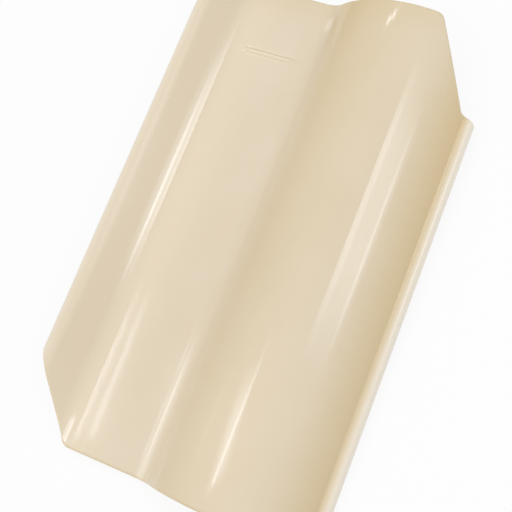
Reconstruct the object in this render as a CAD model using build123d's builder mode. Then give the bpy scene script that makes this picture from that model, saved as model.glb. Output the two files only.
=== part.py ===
"""Interlocking clay roof tile with one barrel: a single fired piece, lying barrel side up on the floor."""
import os
from math import acos, cos, degrees, radians, sin, sqrt, tan

from build123d import *

# Length of the tile and thickness of its wall, in millimetres
tile_length = 430.0
wall = 11.0

# Up-stand along the left side, which turns level again at its round rim
upstand_rise = 22.0
upstand_angle = 38.0
knee_radius = 1.0
cove_radius = 26.0

# Flat pan and barrel: widths across the tile, height of the crest above the pan's top face
pan_width = 58.8
barrel_width = 147.0
crest_from_pan = 80.5
crest_rise = 36.0
crease_radius = 20.0

# Lip along the right side, where the barrel covers the next tile
lip_width = 8.5
lip_rise = 9.0
heel_radius = 3.0

# Corner cuts at the foot's left and the head's right, with the notch where the lip starts
foot_cut_width = 41.0
foot_cut_length = 66.0
head_cut_width = 51.5
head_cut_length = 68.0
notch_width = 13.0
notch_angle = 20.0
notch_radius = 4.0

# Water bar across the pan, a low round ridge
bar_from_head = 61.0
bar_width = 8.0
bar_rise = 0.8

# Hanging nib under the pan, which hooks behind a roof batten
nib_from_head = 30.0
nib_clearance = 6.0
nib_depth = 18.0
nib_drop = 10.0
nib_taper = 12.0
nib_corner_radius = 5.0
nib_edge_radius = 2.0

# Rounding of the fired edges, and how far the cutting shapes run past the clay
end_radius = 3.0
cut_radius = 2.0
overrun = 20.0

# Middle line of the up-stand: its radii, its slope and where the flat pan starts
half_wall = wall / 2
knee_middle = knee_radius + half_wall
cove_middle = cove_radius + half_wall
turn_run = (knee_middle + cove_middle) * sin(radians(upstand_angle))
turn_rise = (knee_middle + cove_middle) * (1 - cos(radians(upstand_angle)))
slope_length = (upstand_rise - turn_rise) / sin(radians(upstand_angle))
pan_start = half_wall + turn_run + slope_length * cos(radians(upstand_angle))

# Middle line of the barrel: its radii and its angles on either side of the crest
crease_middle = crease_radius + half_wall
heel_middle = heel_radius + half_wall
left_reach = (crest_from_pan**2 + crest_rise**2) / (2 * crest_rise)
left_angle = degrees(acos(1 - crest_rise / left_reach))
right_span = barrel_width - crest_from_pan
right_drop = crest_rise - lip_rise
right_reach = (right_span**2 + right_drop**2) / (2 * right_drop)
right_angle = degrees(acos(1 - right_drop / right_reach))

# Sides and ends of the tile, which is centred on the origin while it is modelled
pan_edge = pan_start + pan_width
tile_width = pan_edge + barrel_width + lip_width
left_side = -tile_width / 2
right_side = tile_width / 2
foot_end = -tile_length / 2
head_end = tile_length / 2
rim_center = (left_side + half_wall, half_wall + upstand_rise)
notch_drop = (notch_width + overrun) * tan(radians(notch_angle))

with BuildPart() as tile:
    # Body: one wall of even thickness along a smooth middle line, the same from foot to head
    with BuildSketch(Plane.XZ.offset(-foot_end)):
        with BuildLine():
            knee = JernArc(rim_center, (1, 0), knee_middle, -upstand_angle)
            slope = PolarLine(knee @ 1, slope_length, -upstand_angle)
            cove = JernArc(slope @ 1, slope % 1, cove_middle, upstand_angle)
            pan = Line(cove @ 1, (left_side + pan_edge, half_wall))
            crease = JernArc(pan @ 1, pan % 1, crease_middle, left_angle)
            left_arc = JernArc(crease @ 1, crease % 1, left_reach - crease_middle, -left_angle)
            right_arc = JernArc(left_arc @ 1, left_arc % 1, right_reach - heel_middle, -right_angle)
            heel = JernArc(right_arc @ 1, right_arc % 1, heel_middle, right_angle)
            Line(heel @ 1, (right_side - half_wall, half_wall + lip_rise))
            offset(amount=half_wall, side=Side.BOTH)
        make_face()
    extrude(amount=-tile_length)
    for end_face in tile.faces().filter_by(Axis.Y):
        fillet(end_face.edges(), end_radius)

    # Water bar, its ends buried in the cove and the barrel's crease
    bar_start = pan_start - sqrt(2 * cove_radius * bar_rise) - half_wall
    bar_end = pan_edge + sqrt(2 * crease_radius * bar_rise) + half_wall
    bar_place = head_end - bar_from_head
    with BuildSketch(Plane.YZ.offset(left_side + bar_start)):
        with BuildLine():
            top = ThreePointArc(
                (bar_place - bar_width / 2, wall),
                (bar_place, wall + bar_rise),
                (bar_place + bar_width / 2, wall),
            )
            Polyline(
                top @ 1,
                (bar_place + bar_width / 2, half_wall),
                (bar_place - bar_width / 2, half_wall),
                top @ 0,
            )
        make_face()
    extrude(amount=bar_end - bar_start)

    # Hanging nib, in the middle of the flat pan
    nib_width = pan_width - 2 * nib_clearance
    nib_place = left_side + pan_start + pan_width / 2
    with BuildSketch(Plane.XY):
        with Locations((nib_place, head_end - nib_from_head)):
            RectangleRounded(nib_width, nib_depth, nib_corner_radius)
    extrude(amount=-nib_drop, taper=nib_taper)
    fillet(tile.faces().sort_by(Axis.Z)[0].edges(), nib_edge_radius)

    # Corner cut at the foot's left
    with BuildSketch(Plane.XY):
        with BuildLine():
            Polyline(
                (left_side, foot_end + foot_cut_length),
                (left_side + foot_cut_width, foot_end),
                (left_side + foot_cut_width, foot_end - overrun),
                (left_side - overrun, foot_end - overrun),
                (left_side - overrun, foot_end + foot_cut_length),
                close=True,
            )
        make_face()
    extrude(amount=tile_width, both=True, mode=Mode.SUBTRACT)
    foot_cut_axis = Axis((0, 0, 0), (foot_cut_length, foot_cut_width, 0))
    fillet(tile.faces().filter_by(foot_cut_axis).sort_by(Axis.Y)[0].edges(), cut_radius)

    # Corner cut at the head's right, down to the notch where the lip starts
    with BuildSketch(Plane.XY) as head_cut:
        with BuildLine():
            Polyline(
                (right_side - head_cut_width, head_end),
                (right_side - notch_width, head_end - head_cut_length),
                (right_side + overrun, head_end - head_cut_length - notch_drop),
                (right_side + overrun, head_end + overrun),
                (right_side - head_cut_width, head_end + overrun),
                close=True,
            )
        make_face()
        fillet(head_cut.vertices().sort_by(Axis.Y)[1], notch_radius)
    extrude(amount=tile_width, both=True, mode=Mode.SUBTRACT)
    head_cut_axis = Axis((0, 0, 0), (head_cut_length, head_cut_width - notch_width, 0))
    fillet(tile.faces().filter_by(head_cut_axis).sort_by(Axis.Y)[-1].edges(), cut_radius)

# The tile lies on three points: the nib, the foot of the pan and the foot of the lip
nib_rest_width = nib_width / 2 - nib_drop * sin(radians(nib_taper)) - nib_edge_radius
nib_rest_depth = nib_depth / 2 - nib_drop * sin(radians(nib_taper)) - nib_edge_radius
nib_rest = Vector(
    nib_place + nib_rest_width,
    head_end - nib_from_head - nib_rest_depth,
    -nib_drop,
)
pan_rest = Vector(left_side + pan_edge, foot_end + end_radius, 0)
lip_rest = Vector(right_side - half_wall, foot_end + end_radius, lip_rise)
across = lip_rest - pan_rest
floor = Plane(origin=pan_rest, x_dir=across, z_dir=across.cross(nib_rest - pan_rest))

with BuildPart() as roof_tile:
    add(floor.to_local_coords(tile.part))
box = roof_tile.part.bounding_box()
roof_tile.part.move(Location((-box.center().X, -box.center().Y, -box.min.Z)))

os.makedirs("parts", exist_ok=True)
roof_tile.part.label = "roof_tile"
export_step(roof_tile.part, "parts/roof_tile.step")
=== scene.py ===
"""Glazed clay roof tile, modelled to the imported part's sizes, with its glaze, floor, lamps and camera."""
from math import acos, ceil, cos, degrees, pi, radians, sin, tan

import bpy
from mathutils import Matrix, Vector


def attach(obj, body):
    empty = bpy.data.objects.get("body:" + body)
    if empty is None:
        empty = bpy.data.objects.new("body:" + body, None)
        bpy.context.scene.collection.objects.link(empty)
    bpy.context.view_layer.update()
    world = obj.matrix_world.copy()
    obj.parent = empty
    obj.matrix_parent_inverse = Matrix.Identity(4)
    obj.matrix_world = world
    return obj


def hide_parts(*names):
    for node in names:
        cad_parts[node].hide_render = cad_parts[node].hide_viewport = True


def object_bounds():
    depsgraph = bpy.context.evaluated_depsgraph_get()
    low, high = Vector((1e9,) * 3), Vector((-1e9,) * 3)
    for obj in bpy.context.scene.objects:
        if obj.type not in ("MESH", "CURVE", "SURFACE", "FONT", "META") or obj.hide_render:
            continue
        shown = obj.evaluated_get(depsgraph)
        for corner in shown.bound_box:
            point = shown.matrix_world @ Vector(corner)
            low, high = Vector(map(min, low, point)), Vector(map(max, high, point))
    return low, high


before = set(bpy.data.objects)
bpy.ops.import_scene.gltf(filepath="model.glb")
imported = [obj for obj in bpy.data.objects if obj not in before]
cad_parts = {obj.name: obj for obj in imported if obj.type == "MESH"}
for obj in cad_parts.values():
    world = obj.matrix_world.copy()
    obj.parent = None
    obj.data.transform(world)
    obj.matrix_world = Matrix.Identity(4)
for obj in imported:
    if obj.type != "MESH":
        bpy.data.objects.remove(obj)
cad_low, cad_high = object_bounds()

# Sizes of the tile's body in metres, and the slope of its up-stand in degrees
tile_length = 0.430
wall = 0.011
upstand_rise = 0.022
upstand_angle = 38.0
knee_radius = 0.001
cove_radius = 0.026
pan_width = 0.0588
barrel_width = 0.147
crest_from_pan = 0.0805
crest_rise = 0.036
crease_radius = 0.020
lip_width = 0.0085
lip_rise = 0.009
heel_radius = 0.003
half_turn = 180.0

# Corner cuts and the notch where the lip starts
foot_cut_width = 0.041
foot_cut_length = 0.066
head_cut_width = 0.0515
head_cut_length = 0.068
notch_width = 0.013
notch_angle = 20.0
notch_radius = 0.004
overrun = 0.020

# Rounding of the cut corners and of the fired edges, and how squarely a face of an end looks along the tile
corner_radius = 0.008
corner_steps = 5
edge_radius = 0.0027
edge_steps = 4
end_facing = 0.2

# Water bar across the pan, which sinks into the pan in steps at its two ends
bar_from_head = 0.061
bar_width = 0.008
bar_rise = 0.0008
bar_steps = 5
bar_step = 0.003

# Hanging nib under the pan, and how squarely its lowest face looks down
nib_from_head = 0.030
nib_clearance = 0.006
nib_depth = 0.018
nib_drop = 0.010
nib_taper = 12.0
nib_edge_radius = 0.002
nib_facing = 0.5

# Fineness of the mesh across the section and along the tile, and the gaps at which points are merged
arc_step = 0.0024
arc_step_angle = 10.0
length_step = 0.006
fine_step = 0.001
smooth_angle = 40.0
merge_gap = 0.00001
crumb_gap = 0.00014

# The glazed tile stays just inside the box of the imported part
inside_share = 0.9993

# Middle line of the wall: its radii, lengths and angles
half_wall = wall / 2
turn_middle = knee_radius + cove_radius + wall
slope_rise = upstand_rise - turn_middle * (1 - cos(radians(upstand_angle)))
slope_length = slope_rise / sin(radians(upstand_angle))
pan_start = (
    half_wall
    + turn_middle * sin(radians(upstand_angle))
    + slope_length * cos(radians(upstand_angle))
)
left_reach = (crest_from_pan**2 + crest_rise**2) / (2 * crest_rise)
left_angle = degrees(acos(1 - crest_rise / left_reach))
left_middle = left_reach - crease_radius - half_wall
right_span = barrel_width - crest_from_pan
right_drop = crest_rise - lip_rise
right_reach = (right_span**2 + right_drop**2) / (2 * right_drop)
right_angle = degrees(acos(1 - right_drop / right_reach))
right_middle = right_reach - heel_radius - half_wall
lip_run = lip_width - half_wall

# Sides and ends of the tile, which is centred on the origin while it is modelled
pan_edge = pan_start + pan_width
tile_width = pan_edge + barrel_width + lip_width
left_side = -tile_width / 2
right_side = tile_width / 2
foot_end = -tile_length / 2
head_end = tile_length / 2
nib_width = pan_width - 2 * nib_clearance
nib_place = left_side + pan_start + pan_width / 2

# Colours of the glaze, of its painted light, highlights and shade, and of the bare clay on the underside
cream = (0.707, 0.597, 0.432, 1)
cloudy_cream = (0.726, 0.620, 0.465, 1)
# Paler cream: painted light on the pan's left and in the crease
lit_cream = (0.760, 0.645, 0.474, 1)
# Pale cream: painted highlights at the crease's foot, in the cove and near the head
highlight_cream = (0.830, 0.720, 0.560, 1)
# Pale cream: painted light along the rim and the lip
lit_edge = (0.840, 0.760, 0.635, 1)
# Deep yellow of thinner glaze, also painted shade on the flanks, the head and the end edges
honey_and_shade = (0.677, 0.527, 0.300, 1)
clay = (0.56, 0.34, 0.20, 1)

# Gloss of the glaze, its faint clouds of colour and its ripples
glaze_roughness = 0.055
rim_roughness = 0.32
clay_roughness = 0.85
glaze_index = 1.6
cloud_scale = 18.0
cloud_detail = 3.0
cloud_limits = (0.3, 0.7)
ripple_scale = 45.0
ripple_detail = 1.0
ripple_height = 0.00004

# Places across the tile as it lies where the glaze's colour and its painted light and shade change
rim_outside = -0.130
rim_inside = -0.122
pan_left = -0.086
pan_right = -0.042
crease_line = -0.012
left_flank = 0.010
right_crest = 0.084
heel_start = 0.1205
lip_start = 0.1290

# Share of deep yellow where the glaze is thinner, which also paints shade on the flanks, across the head and
# on the end edges
left_thin_shade = 0.53
crest_thin_shade = 0.12
foot_thin_shade = 0.75
head_thin_shade = 1.05
head_flank_shade = 0.6
head_band_shade = 0.3
end_edge_shade = 0.55

# Soft changes along the tile, on the rim and with the turn of the surface: start and full
thin_shade_along = (-0.10, 0.20)
head_band_along = (0.185, 0.212)
dull_rim_across = (-0.112, -0.117)
edge_turn = (0.10, 0.45)
underside_turn = (-0.3, -0.6)

# Patches of painted light in the crease, of painted highlights at the crease's foot, in the cove and near the
# head, and of painted shade on the flank near the head: start and full from each side
crease_light = {
    "left": (-0.022, -0.012),
    "right": (0.001, -0.012),
    "head": (0.20, 0.08),
}
foot_crease_highlight = {
    "left": (-0.0255, -0.0205),
    "right": (-0.0140, -0.0190),
    "head": (-0.07, -0.15),
}
cove_highlight = {
    "left": (-0.1030, -0.1000),
    "right": (-0.0930, -0.0975),
    "foot": (-0.09, 0.0),
    "head": (0.19, 0.06),
}
head_glint = {
    "left": (-0.0195, -0.0160),
    "right": (-0.0110, -0.0145),
    "foot": (0.184, 0.193),
    "head": (0.204, 0.197),
}
head_flank_shade_patch = {
    "left": (-0.013, -0.007),
    "right": (0.025, 0.006),
    "foot": (0.150, 0.200),
}

# Floor: its size, its paint and the share of plain white that the camera sees on it
floor_size = 12
floor_paint = (0.85, 0.85, 0.85, 1)
floor_roughness = 0.9
floor_white = 0.88

# Studio light: its level, its growth with direction, and the colour and height of the lamps
studio_level = 0.45
studio_slope = (-0.10, -0.12, 0.725)
studio_white = (1, 1, 1, 1)
lamp_color = (0.90, 0.97, 1.08, 1)
lamp_height = 1.2
softbox_edge_height = 1.19

# Camera: its place, what it looks at, its roll in degrees, and its lens and sensor in millimetres
camera_place = Vector((0.22252, -0.14831, 0.65879))
camera_target = Vector((-0.00434, -0.01322, 0))
camera_roll = -38.671
camera_lens = 59.97
camera_sensor = 36


def choose(piece, kind, wanted):
    """Selects the vertices, edges or faces of a piece that are wanted, and leaves it in edit mode."""
    bpy.ops.object.mode_set(mode="EDIT")
    bpy.ops.mesh.select_mode(type=kind)
    bpy.ops.mesh.select_all(action="DESELECT")
    bpy.ops.object.mode_set(mode="OBJECT")
    mesh = piece.data
    for element in {"VERT": mesh.vertices, "EDGE": mesh.edges, "FACE": mesh.polygons}[kind]:
        element.select = wanted(element)
    bpy.ops.object.mode_set(mode="EDIT")


def ends(piece, edge):
    """The two end points of an edge."""
    return [piece.data.vertices[index].co for index in edge.vertices]


def apply_modifier(piece, kind, **settings):
    """Gives a piece a modifier and applies it."""
    bpy.ops.object.mode_set(mode="OBJECT")
    bpy.context.view_layer.objects.active = piece
    modifier = piece.modifiers.new(kind.lower(), kind)
    for name, value in settings.items():
        setattr(modifier, name, value)
    bpy.ops.object.modifier_apply(modifier=modifier.name)


class WallPen:
    """Draws the wall's outline by carrying the selected lengthwise edge along runs and round turns."""

    def __init__(self, x, z, heading):
        self.place = Vector((x, 0, z))
        self.heading = heading

    def left(self):
        """Direction to the pen's left."""
        return Vector((-sin(radians(self.heading)), 0, cos(radians(self.heading))))

    def run(self, length):
        """Extrudes the edge straight on."""
        steps = ceil(length / arc_step)
        forward = Vector((cos(radians(self.heading)), 0, sin(radians(self.heading))))
        stride = forward * (length / steps)
        for _ in range(steps):
            bpy.ops.mesh.extrude_region_move(TRANSFORM_OT_translate={"value": stride})
        self.place += stride * steps

    def turn(self, radius, angle):
        """Spins the edge round an arc, to the left where the angle is positive."""
        reach = radius if angle > 0 else -radius
        center = self.place + self.left() * reach
        steps = ceil(max(radians(abs(angle)) * radius / arc_step, abs(angle) / arc_step_angle))
        bpy.ops.mesh.spin(steps=steps, angle=radians(angle), center=center, axis=(0, 1, 0))
        self.heading += angle
        self.place = center - self.left() * reach


def draw_wall():
    """The tile's wall, from its lip round the section and back, closed at both ends and left in edit mode."""
    bpy.ops.object.select_all(action="DESELECT")
    lip_top = wall + lip_rise
    bpy.ops.mesh.primitive_plane_add(size=1, location=(right_side - half_wall - lip_run / 2, 0, lip_top))
    body = bpy.context.object
    body.name = "glazed_tile"
    body.scale = (lip_run, tile_length - 2 * edge_radius, 1)
    bpy.ops.object.transform_apply(location=True, rotation=True, scale=True)
    lip_end = right_side - half_wall
    choose(body, "EDGE", lambda edge: all(abs(p.x - lip_end) < merge_gap for p in ends(body, edge)))
    pen = WallPen(lip_end, lip_top, 0)
    pen.turn(half_wall, -half_turn)
    pen.run(lip_run)
    pen.turn(heel_radius + wall, -right_angle)
    pen.turn(right_middle - half_wall, right_angle)
    pen.turn(left_middle - half_wall, left_angle)
    pen.turn(crease_radius + wall, -left_angle)
    pen.run(pan_width)
    pen.turn(cove_radius + wall, -upstand_angle)
    pen.run(slope_length)
    pen.turn(knee_radius, upstand_angle)
    pen.turn(half_wall, -half_turn)
    pen.turn(knee_radius + wall, -upstand_angle)
    pen.run(slope_length)
    pen.turn(cove_radius, upstand_angle)
    pen.run(pan_width)
    pen.turn(crease_radius, left_angle)
    pen.turn(left_middle + half_wall, -left_angle)
    pen.turn(right_middle + half_wall, -right_angle)
    pen.turn(heel_radius, right_angle)
    bpy.ops.mesh.select_all(action="SELECT")
    bpy.ops.mesh.remove_doubles(threshold=merge_gap)
    bpy.ops.mesh.select_all(action="SELECT")
    bpy.ops.mesh.fill_holes(sides=0)
    bpy.ops.mesh.select_all(action="SELECT")
    bpy.ops.mesh.normals_make_consistent(inside=False)
    return body


def cut_corner(end_normal, cut_normal, end_place, cut_place, last):
    """Cuts a corner off in flats that turn from the end to the slanted cut, short of the rounded edge."""
    meeting = Matrix((end_normal, cut_normal)).inverted()
    center = meeting @ Vector((end_place.dot(end_normal), cut_place.dot(cut_normal)))
    center -= meeting @ Vector((corner_radius, corner_radius))
    turn = end_normal.angle_signed(cut_normal)
    for step in range(1, last + 1):
        normal = Matrix.Rotation(-turn * step / corner_steps, 2) @ end_normal
        place = center + normal * corner_radius
        bpy.ops.mesh.select_all(action="SELECT")
        bpy.ops.mesh.bisect(
            plane_co=(place.x, place.y, 0),
            plane_no=(normal.x, normal.y, 0),
            use_fill=True,
            clear_outer=True,
        )
    bpy.ops.object.mode_set(mode="OBJECT")


def cut_foot():
    """Corner cut at the foot's left."""
    cut_normal = Vector((-foot_cut_length, -foot_cut_width)).normalized()
    cut_place = Vector((left_side, foot_end + edge_radius + foot_cut_length))
    cut_corner(Vector((0, -1)), cut_normal, Vector((0, foot_end + edge_radius)), cut_place, corner_steps)


def head_cutter():
    """Block that is cut off the head's right corner, with the rounded edge that leaves the notch."""
    cut_normal = Vector((head_cut_length, head_cut_width - notch_width)).normalized()
    notch_normal = Vector((sin(radians(notch_angle)), cos(radians(notch_angle))))
    notch = Vector((right_side - notch_width, head_end - edge_radius - head_cut_length))
    slant = (head_cut_width - notch_width) / head_cut_length
    far_right = right_side + overrun
    far_head = head_end + overrun
    corners = {
        (-1, 1): Vector((notch.x - slant * (far_head - notch.y), far_head)),
        (-1, -1): notch,
        (1, -1): Vector((far_right, notch.y - (far_right - notch.x) * tan(radians(notch_angle)))),
        (1, 1): Vector((far_right, far_head)),
    }
    depth = tile_width / 2
    bpy.ops.object.select_all(action="DESELECT")
    bpy.ops.mesh.primitive_plane_add(size=2, location=(0, 0, 0))
    cutter = bpy.context.object
    for (x, y), place in corners.items():
        choose(cutter, "VERT", lambda v: abs(v.co.x - x) < merge_gap and abs(v.co.y - y) < merge_gap)
        bpy.ops.transform.translate(value=(place.x - x, place.y - y, -depth))
    bpy.ops.mesh.select_all(action="SELECT")
    bpy.ops.mesh.extrude_region_move(TRANSFORM_OT_translate={"value": (0, 0, 2 * depth)})
    bpy.ops.mesh.select_all(action="SELECT")
    bpy.ops.mesh.normals_make_consistent(inside=False)
    choose(cutter, "EDGE", lambda edge: all((p.xy - notch).length < merge_gap for p in ends(cutter, edge)))
    bevel = notch_radius * tan(cut_normal.angle(notch_normal) / 2)
    bpy.ops.mesh.bevel(offset=bevel, segments=edge_steps, affect="EDGES")
    bpy.ops.object.mode_set(mode="OBJECT")
    return cutter


def cut_head(body):
    """Corner cut at the head's right, down to the notch where the lip starts."""
    cutter = head_cutter()
    apply_modifier(body, "BOOLEAN", object=cutter, operation="DIFFERENCE", solver="EXACT")
    bpy.data.objects.remove(cutter)
    cut_normal = Vector((head_cut_length, head_cut_width - notch_width)).normalized()
    cut_place = Vector((right_side - head_cut_width, head_end - edge_radius))
    bpy.ops.object.mode_set(mode="EDIT")
    cut_corner(Vector((0, 1)), cut_normal, Vector((0, head_end - edge_radius)), cut_place, corner_steps - 1)
    bpy.ops.object.mode_set(mode="EDIT")
    bpy.ops.mesh.select_all(action="SELECT")
    bpy.ops.mesh.remove_doubles(threshold=crumb_gap)
    bpy.ops.object.mode_set(mode="OBJECT")


def round_edges(body):
    """Soft edges round both ends and the corner cuts, built out in narrowing steps."""
    for way in (-1, 1):
        choose(body, "FACE", lambda face: face.normal.y * way > end_facing)
        for step in range(edge_steps):
            start = pi / 2 * step / edge_steps
            end = pi / 2 * (step + 1) / edge_steps
            bpy.ops.mesh.inset(thickness=edge_radius * (cos(start) - cos(end)), depth=0)
            bpy.ops.transform.translate(value=(0, way * edge_radius * (sin(end) - sin(start)), 0))
    bpy.ops.object.mode_set(mode="OBJECT")


def ring_cut(places):
    """Cuts the whole body across at these places along its length."""
    for place in places:
        bpy.ops.mesh.select_all(action="SELECT")
        bpy.ops.mesh.bisect(plane_co=(0, place, 0), plane_no=(0, 1, 0))


def raise_bar(body):
    """Water bar: rings of the pan's top face lifted to a low round ridge that tapers out at its ends."""
    bar_place = head_end - bar_from_head
    half_count = round(bar_width / 2 / fine_step)
    offsets = [step * fine_step for step in range(-half_count, half_count + 1)]
    bpy.ops.object.mode_set(mode="EDIT")
    ring_cut([bar_place + offset for offset in offsets])
    for offset in offsets[1:-1]:
        lift = bar_rise * (1 + cos(2 * pi * offset / bar_width)) / 2
        for inset in range(bar_steps):
            bar_left = left_side + pan_start + inset * bar_step
            bar_right = left_side + pan_edge - inset * bar_step
            choose(
                body,
                "VERT",
                lambda v: abs(v.co.y - bar_place - offset) < merge_gap
                and bar_left - merge_gap < v.co.x < bar_right + merge_gap
                and v.co.z > half_wall,
            )
            bpy.ops.transform.translate(value=(0, 0, lift / bar_steps))
    bpy.ops.object.mode_set(mode="OBJECT")


def add_nib(body):
    """Hanging nib under the pan, tapered and soft-edged."""
    bpy.ops.object.select_all(action="DESELECT")
    sunk = half_wall
    nib_along = head_end - nib_from_head
    bpy.ops.mesh.primitive_cube_add(size=1, location=(nib_place, nib_along, (sunk - nib_drop) / 2))
    nib = bpy.context.object
    nib.scale = (nib_width, nib_depth, nib_drop + sunk)
    bpy.ops.object.transform_apply(location=True, rotation=True, scale=True)
    choose(nib, "FACE", lambda face: face.normal.z < -nib_facing)
    shrink = 2 * nib_drop * tan(radians(nib_taper))
    bpy.ops.transform.resize(
        value=(1 - shrink / nib_width, 1 - shrink / nib_depth, 1),
        center_override=(nib_place, nib_along, -nib_drop),
    )
    bpy.ops.mesh.select_all(action="SELECT")
    bpy.ops.mesh.bevel(offset=nib_edge_radius, segments=edge_steps, affect="EDGES")
    bpy.ops.object.mode_set(mode="OBJECT")
    apply_modifier(body, "BOOLEAN", object=nib, operation="UNION", solver="EXACT")
    bpy.data.objects.remove(nib)


def lay_down(body):
    """Turns the tile as it lies on its nib, its pan's foot and its lip's foot, inside the CAD box."""
    bpy.ops.object.mode_set(mode="EDIT")
    bpy.ops.mesh.select_all(action="SELECT")
    bpy.ops.transform.resize(value=(inside_share, inside_share, inside_share), center_override=(0, 0, 0))
    bpy.ops.object.mode_set(mode="OBJECT")
    nib_inset = nib_drop * sin(radians(nib_taper)) + nib_edge_radius
    nib_rest = Vector((
        nib_place + nib_width / 2 - nib_inset,
        head_end - nib_from_head - nib_depth / 2 + nib_inset,
        -nib_drop,
    ))
    pan_rest = Vector((left_side + pan_edge, foot_end + edge_radius, 0))
    lip_rest = Vector((right_side - half_wall, foot_end + edge_radius, lip_rise))
    across = (lip_rest - pan_rest).normalized()
    up = across.cross(nib_rest - pan_rest).normalized()
    body.matrix_world = Matrix((across, up.cross(across), up)).to_4x4()
    bpy.ops.object.select_all(action="DESELECT")
    body.select_set(True)
    bpy.context.view_layer.objects.active = body
    bpy.ops.object.transform_apply(location=True, rotation=True, scale=True)
    corners = [Vector(corner) for corner in body.bound_box]
    low = Vector([min(c[axis] for c in corners) for axis in range(3)])
    high = Vector([max(c[axis] for c in corners) for axis in range(3)])
    center = (low + high) / 2
    cad_center = (cad_low + cad_high) / 2
    body.location = (cad_center.x - center.x, cad_center.y - center.y, cad_low.z - low.z)
    bpy.ops.object.transform_apply(location=True, rotation=True, scale=True)


def add_node(tree, kind, inputs=None, **settings):
    """Adds a shader node; an input is given a plain value or the output that feeds it."""
    node = tree.nodes.new("ShaderNode" + kind)
    for name, value in settings.items():
        setattr(node, name, value)
    for name, value in (inputs or {}).items():
        if isinstance(value, bpy.types.NodeSocket):
            tree.links.new(value, node.inputs[name])
        else:
            node.inputs[name].default_value = value
    return node


def calculated(tree, operation, *values):
    """Result of one operation on values."""
    return add_node(tree, "Math", dict(enumerate(values)), operation=operation).outputs[0]


def multiplied(tree, value, share):
    """A value times a share."""
    return calculated(tree, "MULTIPLY", value, share)


def added(tree, values):
    """Sum of several values."""
    total = values[0]
    for value in values[1:]:
        total = calculated(tree, "ADD", total, value)
    return total


def ramp(tree, value, start, full):
    """Soft step of a value, from 0 at its start to 1 where it is full."""
    inputs = {"Value": value, "From Min": start, "From Max": full}
    return add_node(tree, "MapRange", inputs, interpolation_type="SMOOTHSTEP").outputs["Result"]


def slide(tree, value, start, end, first, second):
    """Number that goes evenly from the first to the second while a value goes from start to end."""
    inputs = {"Value": value, "From Min": start, "From Max": end, "To Min": first, "To Max": second}
    return add_node(tree, "MapRange", inputs).outputs["Result"]


def soft_shape(tree, steps):
    """Share that is 1 only where all its soft steps are full."""
    share = ramp(tree, *steps[0])
    for step in steps[1:]:
        share = multiplied(tree, share, ramp(tree, *step))
    return share


def mixed(tree, share, first, second):
    """Colour between two colours; the Mix node has its colours on sockets 6 and 7 and on output 2."""
    inputs = {"Factor": share, 6: first, 7: second}
    return add_node(tree, "Mix", inputs, data_type="RGBA").outputs[2]


def noise(tree, place, scale, detail):
    """Soft random pattern in space."""
    inputs = {"Vector": place, "Scale": scale, "Detail": detail}
    return add_node(tree, "TexNoise", inputs).outputs["Fac"]


def glaze_patch(tree, across, along, sides):
    """Share of a patch of glaze that is soft at each of its sides."""
    directions = {"left": across, "right": across, "foot": along, "head": along}
    return soft_shape(tree, [(directions[side], *limits) for side, limits in sides.items()])


def thin_glaze_and_shade(tree, across, along):
    """Share of deep yellow over the barrel's two flanks, growing towards the head: thinner glaze and painted
    shade.
    """
    thin_and_shade = added(tree, [
        multiplied(tree, ramp(tree, across, crease_line, left_flank), left_thin_shade),
        multiplied(tree, ramp(tree, across, left_flank, right_crest), crest_thin_shade - left_thin_shade),
        multiplied(tree, ramp(tree, across, right_crest, heel_start), 1 - crest_thin_shade),
        multiplied(tree, ramp(tree, across, heel_start, lip_start), -1.0),
    ])
    return multiplied(tree, thin_and_shade, slide(tree, along, *thin_shade_along, foot_thin_shade, head_thin_shade))


def glaze_color(tree, across, along, upward, endward, clouds):
    """Cream with clouds, painted light on the pan's left and in the crease, deep yellow of thinner glaze with
    painted shade on the flanks, painted shade near the head and on the end edges, painted highlights in the
    crease, the cove and near the head, painted light along the rim and the lip, and clay below.
    """
    color = mixed(tree, ramp(tree, clouds, *cloud_limits), cream, cloudy_cream)
    # Painted light on the pan, paler towards the up-stand
    color = mixed(tree, ramp(tree, across, pan_right, pan_left), color, lit_cream)
    # Deep yellow with painted shade over the barrel's flanks
    color = mixed(tree, thin_glaze_and_shade(tree, across, along), color, honey_and_shade)
    # Painted light in the crease
    color = mixed(tree, glaze_patch(tree, across, along, crease_light), color, lit_cream)
    # Painted highlights at the crease's foot, in the cove and near the head
    for painted_highlight in (foot_crease_highlight, cove_highlight, head_glint):
        color = mixed(tree, glaze_patch(tree, across, along, painted_highlight), color, highlight_cream)
    # Painted shade on the barrel's left flank near the head
    flank_shade_near_head = multiplied(tree, glaze_patch(tree, across, along, head_flank_shade_patch), head_flank_shade)
    color = mixed(tree, flank_shade_near_head, color, honey_and_shade)
    # Painted light along the rim
    color = mixed(tree, ramp(tree, across, rim_inside, rim_outside), color, lit_edge)
    # Painted shade in a band across the head end
    color = mixed(tree, multiplied(tree, ramp(tree, along, *head_band_along), head_band_shade), color, honey_and_shade)
    # Painted shade on the rounded edges and faces at the ends
    color = mixed(tree, multiplied(tree, ramp(tree, endward, *edge_turn), end_edge_shade), color, honey_and_shade)
    # Painted light along the lip
    color = mixed(tree, ramp(tree, across, heel_start, lip_start), color, lit_edge)
    return mixed(tree, ramp(tree, upward, *underside_turn), color, clay)


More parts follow.
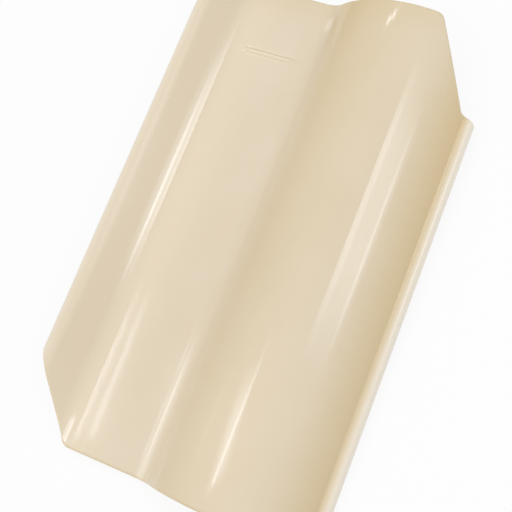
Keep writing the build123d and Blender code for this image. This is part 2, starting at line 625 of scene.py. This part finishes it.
def glaze_material():
    """Glossy cream glaze, duller on the round rim, with bare clay on the underside."""
    glaze = bpy.data.materials.new("cream_glaze")
    glaze.use_nodes = True
    tree = glaze.node_tree
    shader = tree.nodes["Principled BSDF"]
    surface = add_node(tree, "TexCoord")
    place = surface.outputs["Object"]
    spot = add_node(tree, "SeparateXYZ", {"Vector": place})
    across = spot.outputs["X"]
    along = spot.outputs["Y"]
    facing = add_node(tree, "SeparateXYZ", {"Vector": surface.outputs["Normal"]})
    upward = facing.outputs["Z"]
    endward = calculated(tree, "ABSOLUTE", facing.outputs["Y"])
    clouds = noise(tree, place, cloud_scale, cloud_detail)
    color = glaze_color(tree, across, along, upward, endward, clouds)
    tree.links.new(color, shader.inputs["Base Color"])
    gloss = slide(tree, upward, *underside_turn, glaze_roughness, clay_roughness)
    rim_gloss = multiplied(tree, ramp(tree, across, *dull_rim_across), rim_roughness)
    tree.links.new(calculated(tree, "MAXIMUM", gloss, rim_gloss), shader.inputs["Roughness"])
    shader.inputs["IOR"].default_value = glaze_index
    ripples = noise(tree, place, ripple_scale, ripple_detail)
    bump = add_node(tree, "Bump", {"Height": ripples, "Distance": ripple_height})
    tree.links.new(bump.outputs["Normal"], shader.inputs["Normal"])
    return glaze


def make_tile():
    """The whole glazed tile."""
    body = draw_wall()
    cut_foot()
    cut_head(body)
    round_edges(body)
    bpy.ops.object.mode_set(mode="EDIT")
    count = ceil(tile_length / length_step)
    ring_cut([foot_end + tile_length * step / count for step in range(1, count)])
    raise_bar(body)
    add_nib(body)
    bpy.ops.object.shade_smooth_by_angle(angle=radians(smooth_angle))
    lay_down(body)
    body.data.materials.append(glaze_material())
    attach(body, "root")
    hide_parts("roof_tile")


def make_floor():
    """Pale floor, which shows as nearly white to the camera and in the glaze, and keeps a soft shadow."""
    bpy.ops.object.select_all(action="DESELECT")
    bpy.ops.mesh.primitive_plane_add(size=floor_size, location=(0, 0, 0))
    floor = bpy.context.object
    floor.name = "floor"
    paint = bpy.data.materials.new("white_floor")
    paint.use_nodes = True
    tree = paint.node_tree
    shader = tree.nodes["Principled BSDF"]
    shader.inputs["Base Color"].default_value = floor_paint
    shader.inputs["Roughness"].default_value = floor_roughness
    glow = add_node(tree, "Emission", {"Strength": 1.0})
    path = add_node(tree, "LightPath")
    seen = calculated(tree, "MAXIMUM", path.outputs["Is Camera Ray"], path.outputs["Is Glossy Ray"])
    share = multiplied(tree, seen, floor_white)
    mix = add_node(tree, "MixShader", {0: share, 1: shader.outputs[0], 2: glow.outputs[0]})
    tree.links.new(mix.outputs[0], tree.nodes["Material Output"].inputs["Surface"])
    floor.data.materials.append(paint)


def add_lamp(name, place, size, glow, fade, along=(0, 1, 0), aim=None, spread=180.0):
    """Flat studio lamp, its length along a direction, facing down or at a point.

    Its fade is the soft share of its width at each side, and of its length at one end and the other.
    """
    place = Vector(place)
    back = (place - Vector(aim)).normalized() if aim else Vector((0, 0, 1))
    side = Vector(along).cross(back).normalized()
    data = bpy.data.lights.new(name, "AREA")
    data.shape = "RECTANGLE"
    data.size, data.size_y = size
    data.spread = radians(spread)
    beam = 1 - data.spread / 2 / tan(data.spread / 2)
    data.energy = glow * pi * size[0] * size[1] * beam
    data.use_nodes = True
    tree = data.node_tree
    face = add_node(tree, "SeparateXYZ", {"Vector": add_node(tree, "NewGeometry").outputs["Parametric"]})
    sides, low_end, high_end = fade
    strength = soft_shape(tree, [
        (face.outputs["X"], 0, sides),
        (face.outputs["X"], 1, 1 - sides),
        (face.outputs["Y"], 0, low_end),
        (face.outputs["Y"], 1, 1 - high_end),
    ])
    tree.links.new(strength, tree.nodes["Emission"].inputs["Strength"])
    tree.nodes["Emission"].inputs["Color"].default_value = lamp_color
    lamp = bpy.data.objects.new(name, data)
    turned = Matrix((side, back.cross(side), back)).transposed().to_4x4()
    lamp.matrix_world = Matrix.Translation(place) @ turned
    bpy.context.scene.collection.objects.link(lamp)


def make_studio():
    """Even light from all round, brighter overhead."""
    world = bpy.data.worlds.new("studio")
    bpy.context.scene.world = world
    world.use_nodes = True
    tree = world.node_tree
    direction = add_node(tree, "TexCoord").outputs["Generated"]
    product = add_node(tree, "VectorMath", {0: direction, 1: studio_slope}, operation="DOT_PRODUCT")
    glow = calculated(tree, "ADD", product.outputs["Value"], studio_level)
    strength = calculated(tree, "MAXIMUM", glow, studio_level)
    tree.links.new(strength, tree.nodes["Background"].inputs["Strength"])
    tree.nodes["Background"].inputs["Color"].default_value = studio_white


def make_overhead_lamps():
    """Softbox with two soft edges at the right, and two tubes, a window and a spot at the left."""
    add_lamp(
        "softbox",
        place=(0.71, 0.36, lamp_height),
        size=(0.74, 0.84),
        glow=1.95,
        fade=(0.1, 0.38, 0.38),
    )
    add_lamp(
        "softbox_left_edge",
        place=(0.425, 0.36, softbox_edge_height),
        size=(0.22, 0.80),
        glow=1.3,
        fade=(0.4, 0.38, 0.38),
    )
    add_lamp(
        "softbox_right_edge",
        place=(1.01, 0.36, softbox_edge_height),
        size=(0.28, 0.80),
        glow=1.4,
        fade=(0.4, 0.38, 0.38),
    )
    add_lamp(
        "left_tube",
        place=(-0.479, -0.158, lamp_height),
        size=(0.012, 0.435),
        glow=5.5,
        fade=(0.3, 0.08, 0.5),
        along=(0.004, 0.38, 0),
    )
    add_lamp(
        "right_tube",
        place=(-0.4495, -0.150, lamp_height),
        size=(0.012, 0.42),
        glow=5.5,
        fade=(0.3, 0.08, 0.5),
        along=(-0.002, 0.33, 0),
    )
    add_lamp(
        "head_window",
        place=(-0.54, 1.33, lamp_height),
        size=(0.15, 1.0),
        glow=1.2,
        fade=(0.2, 0.1, 0.2),
        along=(-0.232, 0.973, 0),
    )
    add_lamp(
        "head_spot",
        place=(-0.56, 0.835, lamp_height),
        size=(0.30, 0.03),
        glow=7.0,
        fade=(0.4, 0.3, 0.3),
    )


def make_near_lamps():
    """Narrow lamps near the tile, each aimed at one of its forms."""
    add_lamp(
        "bar_strip",
        place=(-0.157, 0.190, 0.296),
        size=(0.16, 0.05),
        glow=2.4,
        fade=(0.3, 0.3, 0.3),
        aim=(-0.055, 0.154, 0.021),
        spread=18.0,
    )
    add_lamp(
        "cove_strip",
        place=(0.172, 0.075, 0.30),
        size=(0.12, 0.32),
        glow=2.0,
        fade=(0.25, 0.4, 0.4),
        aim=(-0.098, 0.010, 0.0245),
        spread=32.0,
    )
    add_lamp(
        "crest_strip",
        place=(-0.056, -0.155, 0.25),
        size=(0.085, 0.16),
        glow=2.5,
        fade=(0.4, 0.15, 0.5),
        along=(-0.433, 0.902, 0),
        aim=(0.046, -0.150, 0.044),
        spread=50.0,
    )
    add_lamp(
        "crease_strip",
        place=(-0.205, -0.160, 0.195),
        size=(0.08, 0.18),
        glow=2.4,
        fade=(0.3, 0.2, 0.5),
        aim=(-0.020, -0.155, 0.0135),
        spread=17.0,
    )
    add_lamp(
        "foot_strip",
        place=(-0.055, -0.245, 0.30),
        size=(0.12, 0.06),
        glow=5.0,
        fade=(0.2, 0.2, 0.2),
        aim=(-0.090, -0.203, 0.015),
        spread=30.0,
    )


def make_camera():
    """Camera at the photograph's viewing angle."""
    data = bpy.data.cameras.new("camera")
    data.lens = camera_lens
    data.sensor_width = camera_sensor
    camera = bpy.data.objects.new("camera", data)
    bpy.context.scene.collection.objects.link(camera)
    aim = (camera_target - camera_place).to_track_quat("-Z", "Y").to_matrix().to_4x4()
    roll = Matrix.Rotation(radians(camera_roll), 4, "Z")
    camera.matrix_world = Matrix.Translation(camera_place) @ aim @ roll
    bpy.context.scene.camera = camera


make_tile()
make_floor()
make_studio()
make_overhead_lamps()
make_near_lamps()
make_camera()
bpy.context.scene.view_settings.view_transform = "Standard"
